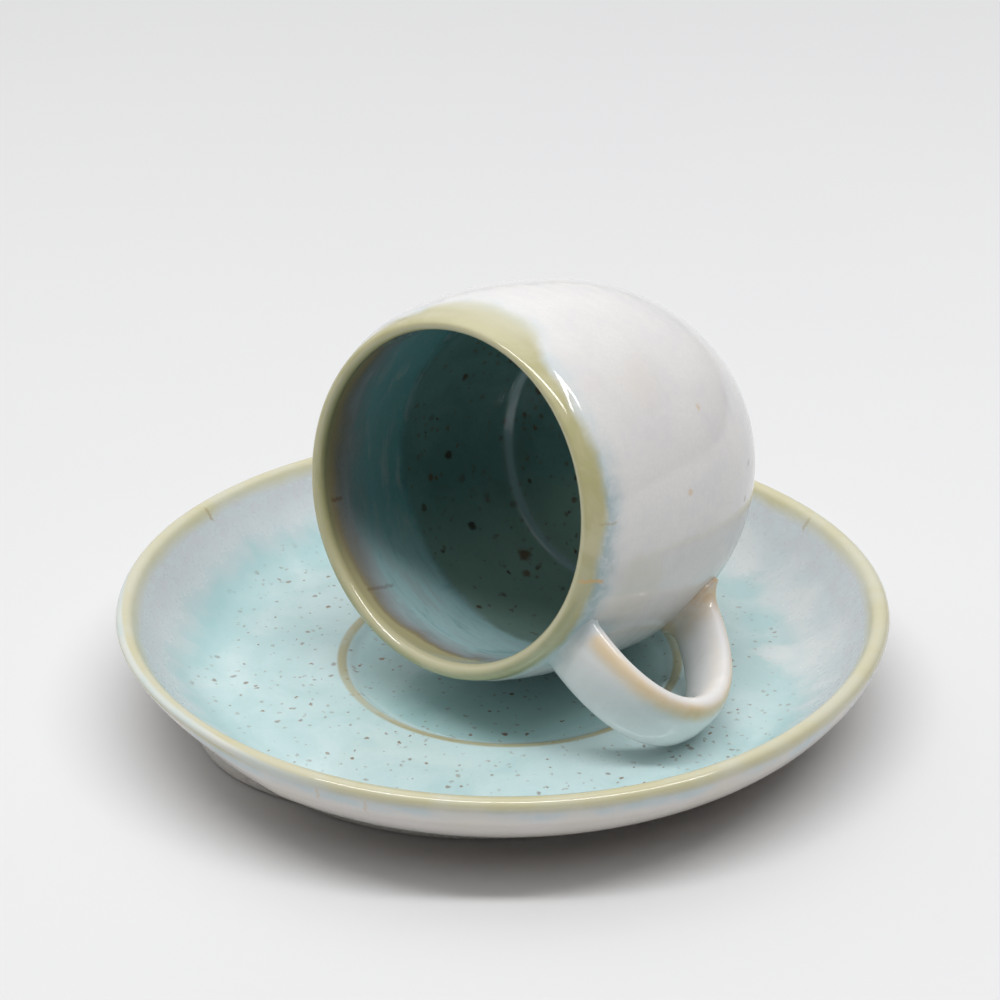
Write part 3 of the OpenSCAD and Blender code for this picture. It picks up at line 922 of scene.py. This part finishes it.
def thrown_cup(r, z, a, run):
    """The cup as thrown: a mouth that sags, swells in its wall, a thinned lip and a step in the glaze."""
    up_wall = np.clip((z - BELLY_HEIGHT) / (LIP_Z - BELLY_HEIGHT), 0, 1) ** 2
    walled = np.clip(z / FLOOR_HEIGHT, 0, 1) * np.clip(r / FLOOR_R, 0, 1)
    sag = MOUTH_SAG * up_wall * np.clip(np.cos(a - SAG_ANGLE), 0, 1) ** 2
    ripple = THROWING_RIPPLE * walled * (np.sin(2 * math.pi * run / RIPPLE_PITCH + a) - 3)
    swell = 0
    for angle, height, out in SWELLS:
        there = np.clip(np.cos(2 * (a - angle)), 0, 1) ** 2 * (np.cos(a - angle) > 0)
        high = np.exp(-(((z - height) / SWELL_REACH) ** 2)) * np.clip(run / SWELL_START, 0, 1)
        swell = swell + out * there * high
    near_lip = np.clip((z - LIP_Z + LIP_THINNING_REACH) / LIP_THINNING_REACH, 0, 1) ** 2
    inner = np.clip(-run / LIP_THICKNESS, 0, 1) * near_lip
    thinned = LIP_THINNING * inner * (0.5 + 0.5 * np.cos(a - LIP_THINNING_ANGLE))
    end = LIP_Z - GLAZE_END + sum(high * np.sin(waves * a + start) for waves, start, high in GLAZE_WANDER)
    beyond = np.clip((z - end) / GLAZE_STEP_LENGTH, 0, 1)
    thick = 0.6 + 0.4 * np.cos(a - GLAZE_THICK_SIDE)
    step = -GLAZE_STEP * thick * (3 - 2 * beyond) * beyond**2 * np.clip(run / STEP_START, 0, 1)
    r = r + sag + ripple + swell + thinned + step
    return r * np.cos(a), r * np.sin(a), z + 0 * a


CUP_PATH = softened(cup_path(), CUP_WEAR, RING_STEP)
FLOOR_LINE_RUN = -float(run_from_crest(CUP_PATH)[-1]) - (FLOOR_R - EDGE)
STANDING_RUN = run_from_crest(CUP_PATH)[CUP_PATH[:, 1] < EDGE / 2]


def make_cup():
    cup = lathe("thrown_cup", CUP_PATH, thrown_cup, CUP_PLACE, cup_glaze())
    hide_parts("cup_body")
    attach(cup, "cup")


# The handle


STRAP_RINGS = 110
STRAP_SIDES = 64
UPPER_FILLET = 1.3
LOWER_FILLET = 3.4
# The strap is this much fuller in its middle, towards the finger
STRAP_SWELL = 0.6
# How far the strap's ends run into the wall
SUNK = 0.9
# Where round the strap the glaze ran thin: angle from its upper side, and how much
WORN_EDGES = [(math.radians(32), 1.0), (math.radians(-40), 0.40), (math.radians(146), 0.25)]
EDGE_NARROW = 3.6


def strap_frame(t):
    """Middle of the strap and its step towards its outer face, in the plane of the handle."""
    a = np.array([outside_r(HANDLE_TOP), HANDLE_TOP])
    d = np.array([outside_r(HANDLE_BOTTOM), HANDLE_BOTTOM])
    b, c = a + TOP_PULL, d + BOTTOM_PULL
    middle = on_bend(a, b, c, d, t)
    way = (1 - t) ** 2 * (b - a) + 2 * t * (1 - t) * (c - b) + t * t * (d - c)
    way /= np.linalg.norm(way)
    square = np.array([-way[1], way[0]])
    joint = HANDLE_TOP if t < 0.5 else HANDLE_BOTTOM
    flush = np.array([outside_r(joint + 0.1) - outside_r(joint - 0.1), 0.2])
    flush /= np.linalg.norm(flush) * (1 if t < 0.5 else -1)
    share = max(0, 1 - min(t, 1 - t) / FLUSH_SHARE) ** 2
    out = share * flush + (1 - share) * square
    out /= np.linalg.norm(out)
    return middle, out / max(LEAST_LEAN, out @ square)


def fillet(away, reach):
    """How far a rounded root stands out at a distance from the wall."""
    near = max(0.0, 1 - away / reach)
    return reach * (1 - math.sqrt(1 - near * near))


def strap_ring(t):
    """One section of the strap and how worn the glaze is at each of its points."""
    middle, out = strap_frame(t)
    angle = np.linspace(0, 2 * math.pi, STRAP_SIDES, endpoint=False)
    across, through = np.cos(angle), np.sin(angle)
    half_width = (STRAP_TOP_WIDTH * (1 - t) + STRAP_BOTTOM_WIDTH * t) / 2
    thicker = np.where(through < 0, STRAP_SWELL * math.sin(math.pi * t) ** 2, 0)
    flat = ((STRAP_THICKNESS / 2 + thicker) * squared(through, STRAP_SQUARE))[:, None] * out
    spoke = np.stack([flat[:, 0], half_width * squared(across, STRAP_SQUARE), flat[:, 1]], 1)
    hub = np.array([middle[0], 0, middle[1]])
    ring = hub + spoke
    off_wall = np.hypot(ring[:, 0], ring[:, 1]) - np.array([outside_r(z) for z in ring[:, 2]])
    reach = UPPER_FILLET if t < 0.5 else LOWER_FILLET
    root = np.array([fillet(max(0.0, d), reach) for d in off_wall])
    ring = ring + spoke / np.linalg.norm(spoke, axis=1)[:, None] * root[:, None]
    worn = sum(share * np.exp(2 * EDGE_NARROW * (np.cos(angle - at) - 1)) for at, share in WORN_EDGES)
    return ring, worn


def on_wall(ring, sunk):
    """The ring brought straight on to the cup's wall, or into it."""
    wall = np.array([outside_r(z) for z in ring[:, 2]]) - sunk
    flat = ring[:, :2] / np.linalg.norm(ring[:, :2], axis=1)[:, None] * wall[:, None]
    return np.concatenate([flat, ring[:, 2:]], 1)


def make_handle():
    node = frame["nodes"]["cup_handle"]
    middle = sum((v.co for v in node.data.vertices), Vector()) / len(node.data.vertices)
    seen = CUP_PLACE.inverted() @ middle
    place = CUP_PLACE @ Matrix.Rotation(math.atan2(seen.y, seen.x), 4, "Z")
    shares = (1 - np.cos(np.linspace(0, math.pi, STRAP_RINGS + 1))) / 2
    rings, edges = zip(*[strap_ring(t) for t in shares])
    upper_end = [on_wall(rings[0], SUNK), on_wall(rings[0], 0)]
    lower_end = [on_wall(rings[-1], 0), on_wall(rings[-1], SUNK)]
    rings = [*upper_end, *rings[1:-1], *lower_end]
    edges = [edges[0], *edges, edges[-1]]
    shares = [0, *shares, 1]
    points = [(place @ Vector(p * MM))[:] for p in np.concatenate(rings)]
    n, count = STRAP_SIDES, len(rings)
    faces = [tuple(range(n))]
    for i in range(count - 1):
        low, high = i * n, (i + 1) * n
        faces += [(low + k, high + k, high + (k + 1) % n, low + (k + 1) % n) for k in range(n)]
    faces.append(tuple((count - 1) * n + k for k in reversed(range(n))))
    marks = {"way": np.repeat(shares, n), "edge": np.concatenate(edges)}
    handle = make_piece("strap_handle", points, faces, handle_glaze(), **marks)
    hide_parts("cup_handle")
    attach(handle, "cup")


# The saucer


# How far the well was turned off the middle, with this much round it, and the rim pulled out on one side
WELL_SHIFT = (1.0, 1.3)
WELL_MARGIN = 3.0
RIM_PULL = 1.1
# The side where the rim warped up and the underside was trimmed away more, which shows the foot
RIM_LIFT = 0.7
LIFTED_SIDE = math.radians(250)
TRIM = 2.4
EVEN_TRIM = 0.7
TRIM_ANGLE = math.radians(245)
FOOT_PRESS = 3.4
FOOT_PRESS_ANGLE = math.radians(245)
# How narrow the trimmed and the pressed side are, in waves to a turn
TRIM_NARROW = 3.0
FOOT_PRESS_NARROW = 3.6
# Millimetres below the rim's crest, and outside the foot, over which the trimming begins
TRIM_BELOW = 7.0
TRIM_OUTSIDE = 6.0
# Points of the lip's round that give way to the wall inside it
LIP_BLEND = 4


def saucer_path():
    """Half of the saucer's section, from under its middle round over the lip to the middle of the well."""
    rim_round = RIM_THICKNESS / 2
    rim_z = SAUCER_HEIGHT - rim_round
    inner = np.array([SAUCER_R - RIM_THICKNESS, rim_z])
    outer = np.array([SAUCER_R, rim_z])
    start = np.array([RIM_START_R, PLATE_HEIGHT])
    under = np.array([UNDER_R, UNDER_HEIGHT])
    span_in, span_out = inner - start, outer - under
    well_z = PLATE_HEIGHT - WELL_DEPTH
    underside = bend([under, outer - span_out * (0.33, 0.7), outer - span_out * (0.05, 0.36), outer], 60)
    lip = crown(SAUCER_R - rim_round, rim_z, rim_round)[:-LIP_BLEND]
    wall = bend([lip[-1], inner - span_in * (0.26, 0.5), start + span_in * (0.42, 0), start], 60)
    well = bend(
        [
            (WELL_R + WELL_DEPTH / 2, PLATE_HEIGHT),
            (WELL_R - WELL_DEPTH / 2, PLATE_HEIGHT),
            (WELL_R - WELL_DEPTH, well_z),
            (WELL_R - 2 * WELL_DEPTH, well_z),
        ],
        16,
    )
    return np.concatenate([[(0, UNDER_HEIGHT)], underside, lip[1:-1], wall, well, [(0, well_z)]])


def one_side(angle, narrow):
    """1 at an angle of 0, down to 0 a quarter of a narrow wave away."""
    return np.clip(np.cos(narrow * angle), 0, 1) * (np.cos(angle) > 0.8)


def thrown_saucer(r, z, a, run):
    """The saucer as thrown: its well off the middle, its rim pulled and lifted, its underside trimmed."""
    shifted = np.clip((RIM_START_R - r) / (RIM_START_R - WELL_R - WELL_MARGIN), 0, 1) * (run < 0)
    up_rim = np.clip((r - RIM_START_R) / (SAUCER_R - RIM_START_R), 0, 1)
    pull = RIM_PULL * up_rim * np.clip(np.sin(2 * a), 0, 1) ** 2 * (np.cos(a) > 0)
    ripple = THROWING_RIPPLE * np.sin(2 * math.pi * run / RIPPLE_PITCH + a) * np.clip(r / WELL_R, 0, 1)
    ripple = (ripple - THROWING_RIPPLE) * np.where(run < 0, 1, -1)
    below = np.clip(run / TRIM_BELOW, 0, 1) * np.clip((r - SAUCER_FOOT_R) / TRIM_OUTSIDE, 0, 1)
    lifted = np.clip(np.cos(a - LIFTED_SIDE), 0, 1) ** 2
    trimmed = one_side(a - TRIM_ANGLE, TRIM_NARROW)
    lift = RIM_LIFT * up_rim * lifted + (TRIM * trimmed + EVEN_TRIM) * below
    x = (r + pull) * np.cos(a) + shifted * WELL_SHIFT[0]
    y = (r + pull) * np.sin(a) + shifted * WELL_SHIFT[1]
    return x, y, z + ripple * (1 - up_rim) + lift


def saucer_foot_path():
    """Half of the section of the foot ring and the turned hollow inside it, from below to above."""
    inner = SAUCER_FOOT_R - SAUCER_FOOT_WIDTH
    top = (UNDER_HEIGHT + PLATE_HEIGHT - WELL_DEPTH) / 2
    return np.array(
        [
            (0, SAUCER_FOOT_HOLLOW),
            (inner - EDGE, SAUCER_FOOT_HOLLOW),
            (inner, SAUCER_FOOT_HOLLOW - EDGE),
            (inner, EDGE / 2),
            (inner + EDGE / 2, 0),
            (SAUCER_FOOT_R - EDGE, 0),
            (SAUCER_FOOT_R, EDGE),
            (SAUCER_FOOT_R, top),
            (0, top),
        ],
        float,
    )


def turned_foot(r, z, a, run):
    """The foot ring, pressed out on the side that shows below the rim."""
    outer = np.clip((r - SAUCER_FOOT_R + SAUCER_FOOT_WIDTH) / SAUCER_FOOT_WIDTH, 0, 1)
    pressed = one_side(a - FOOT_PRESS_ANGLE, FOOT_PRESS_NARROW)
    r = r + FOOT_PRESS * outer * pressed
    return r * np.cos(a), r * np.sin(a), z + 0 * a


def on_saucer(radius, angle, height):
    """A place on the saucer's upper face, in metres."""
    a = math.radians(angle)
    return Vector((radius * math.cos(a), radius * math.sin(a), height)) * MM


# Tongues of milky glaze and pools between them: (centre, size in metres, colour, strength)
SAUCER_MARKS = [
    (on_saucer(50.9, 61, 7.8), 0.0050, FEATHER_WHITE, 0.55),
    (on_saucer(52.1, 54, 8.6), 0.0060, FEATHER_WHITE, 0.45),
    (on_saucer(45.2, 41, 5.9), 0.0042, FEATHER_WHITE, 0.70),
    (on_saucer(48.8, 37, 6.6), 0.0062, FEATHER_WHITE, 0.60),
    (on_saucer(51.5, 75, 7.9), 0.0055, FEATHER_WHITE, 0.40),
    (on_saucer(45.0, 54, 5.8), 0.0050, TURQUOISE, 0.60),
    (on_saucer(46.5, 68, 6.0), 0.0050, TURQUOISE, 0.50),
    (on_saucer(47.0, 196, 6.1), 0.0070, TURQUOISE, 0.50),
    (on_saucer(46.0, 172, 5.9), 0.0060, TURQUOISE, 0.55),
]
SAUCER_CRACKS = [
    (math.radians(-172), -4.2, -0.6, 0.009, TAN, 0.6),
    (math.radians(67), -4.2, -0.8, 0.009, TAN, 0.55),
    (math.radians(-76), 2.0, 5.5, 0.006, OCHRE, 0.4),
    (math.radians(-69), 2.6, 6.5, 0.005, OCHRE, 0.4),
]
SAUCER_PATH = softened(saucer_path(), SAUCER_WEAR, RING_STEP)
WELL_LINE_RUN = -float(run_from_crest(SAUCER_PATH)[-1]) - WELL_R - EDGE


def make_saucer():
    saucer = lathe("thrown_saucer", SAUCER_PATH, thrown_saucer, Matrix(), saucer_glaze())
    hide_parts("saucer")
    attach(saucer, "saucer")
    shift = Vector((math.cos(SAUCER_FOOT_ANGLE), math.sin(SAUCER_FOOT_ANGLE), 0)) * SAUCER_FOOT_SHIFT * MM
    place = Matrix.Translation(shift)
    path = softened(saucer_foot_path(), FOOT_WEAR, RING_STEP)
    foot = lathe("turned_foot", path, turned_foot, place, bare_clay())
    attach(foot, "saucer")


# Floor, lights and camera


CAMERA_AZIMUTH = math.radians(39.42)
CAMERA_ELEVATION = math.radians(30.81)
CAMERA_DISTANCE = 0.450
CAMERA_PITCH = math.radians(26.9)
FOCAL_PIXELS = 2737
IMAGE_PIXELS = 1000
CAMERA_AHEAD = Vector((-math.sin(CAMERA_AZIMUTH), math.cos(CAMERA_AZIMUTH), 0))
CAMERA_RIGHT = Vector((math.cos(CAMERA_AZIMUTH), math.sin(CAMERA_AZIMUTH), 0))
UP = Vector((0, 0, 1))
SENSOR_WIDTH = 36
TABLE_HALF = 3.0
# The lamp: how far it is to the right, ahead and up from the set, its size in metres and its watts
LAMP_RIGHT = 0.1
LAMP_AHEAD = -0.16
LAMP_HEIGHT = 1.1
LAMP_LENGTH = 1.5
LAMP_DEPTH = 0.14
LAMP_POWER = 8.4
# The tent: its light all over, from behind the set and from above
TENT_LEVEL = 0.10
TENT_BEHIND = CAMERA_AHEAD - CAMERA_RIGHT * 0.45 + UP * 0.45
TENT_BEHIND_LEVEL = 0.66
TENT_ABOVE_LEVEL = 0.76


def make_floor():
    mesh = bpy.data.meshes.new("table")
    corners = [(x * TABLE_HALF, y * TABLE_HALF, 0) for x, y in ((-1, -1), (1, -1), (1, 1), (-1, 1))]
    mesh.from_pydata(corners, [], [(0, 1, 2, 3)])
    material, bench = new_material("white table")
    cloud = bench.effect(MOTTLING, Vector=bench.place(), Scale=3.0)
    colour = bench.mix(cloud["Clouds"], TABLE_GREY, TABLE_WHITE)
    shader = bench.lay("BsdfPrincipled", Base_Color=colour)
    shader.inputs["Roughness"].default_value = 0.9
    shader.inputs["Specular IOR Level"].default_value = 0.0
    bench.lay("OutputMaterial", Surface=shader.outputs[0])
    mesh.materials.append(material)
    floor = set_down("table", mesh)


def make_lamp():
    """A long lamp that shines on the set, placed as seen from the camera."""
    lamp = bpy.data.lights.new("lamp bar", "AREA")
    lamp.shape = "RECTANGLE"
    lamp.size = LAMP_LENGTH
    lamp.size_y = LAMP_DEPTH
    lamp.energy = LAMP_POWER
    bar = set_down("lamp bar", lamp)
    bar.location = CAMERA_AHEAD * LAMP_AHEAD + CAMERA_RIGHT * LAMP_RIGHT + UP * LAMP_HEIGHT
    shine = (bar.location - CAMERA_RIGHT * LAMP_RIGHT).normalized()
    bar.rotation_euler = Matrix((CAMERA_RIGHT, shine.cross(CAMERA_RIGHT), shine)).transposed().to_euler()


def make_tent():
    """A white tent round the table, bright above and behind the set and dark at the camera."""
    world = bpy.data.worlds.new("studio")
    world.use_nodes = True
    bench = Bench(world.node_tree)
    way = bench.lay("TexCoord").outputs["Generated"]
    behind = bench.ease(bench.facing(way, TENT_BEHIND.normalized()), 0.1, 1.0, 0.0, TENT_BEHIND_LEVEL)
    above = bench.ease(bench.facing(way, UP), 0.5, 1.0, 0.0, TENT_ABOVE_LEVEL)
    light = bench.lay("Background", Color=LAMP_WHITE)
    strength = bench.math("ADD", bench.math("ADD", behind, above), TENT_LEVEL)
    bench.feed(light.inputs["Strength"], strength)
    bench.lay("OutputWorld", Surface=light.outputs[0])
    bpy.context.scene.world = world


def make_camera():
    lens = bpy.data.cameras.new("camera")
    lens.sensor_width = SENSOR_WIDTH
    lens.lens = FOCAL_PIXELS / IMAGE_PIXELS * lens.sensor_width
    camera = set_down("camera", lens)
    out = -CAMERA_AHEAD * math.cos(CAMERA_ELEVATION) + UP * math.sin(CAMERA_ELEVATION)
    camera.location = out * CAMERA_DISTANCE
    look = CAMERA_AHEAD * math.cos(CAMERA_PITCH) - UP * math.sin(CAMERA_PITCH)
    camera.rotation_euler = look.to_track_quat("-Z", "Y").to_euler()
    bpy.context.scene.camera = camera


make_cup()
make_handle()
make_saucer()
make_floor()
make_lamp()
make_tent()
make_camera()
bpy.context.scene.view_settings.view_transform = "Standard"
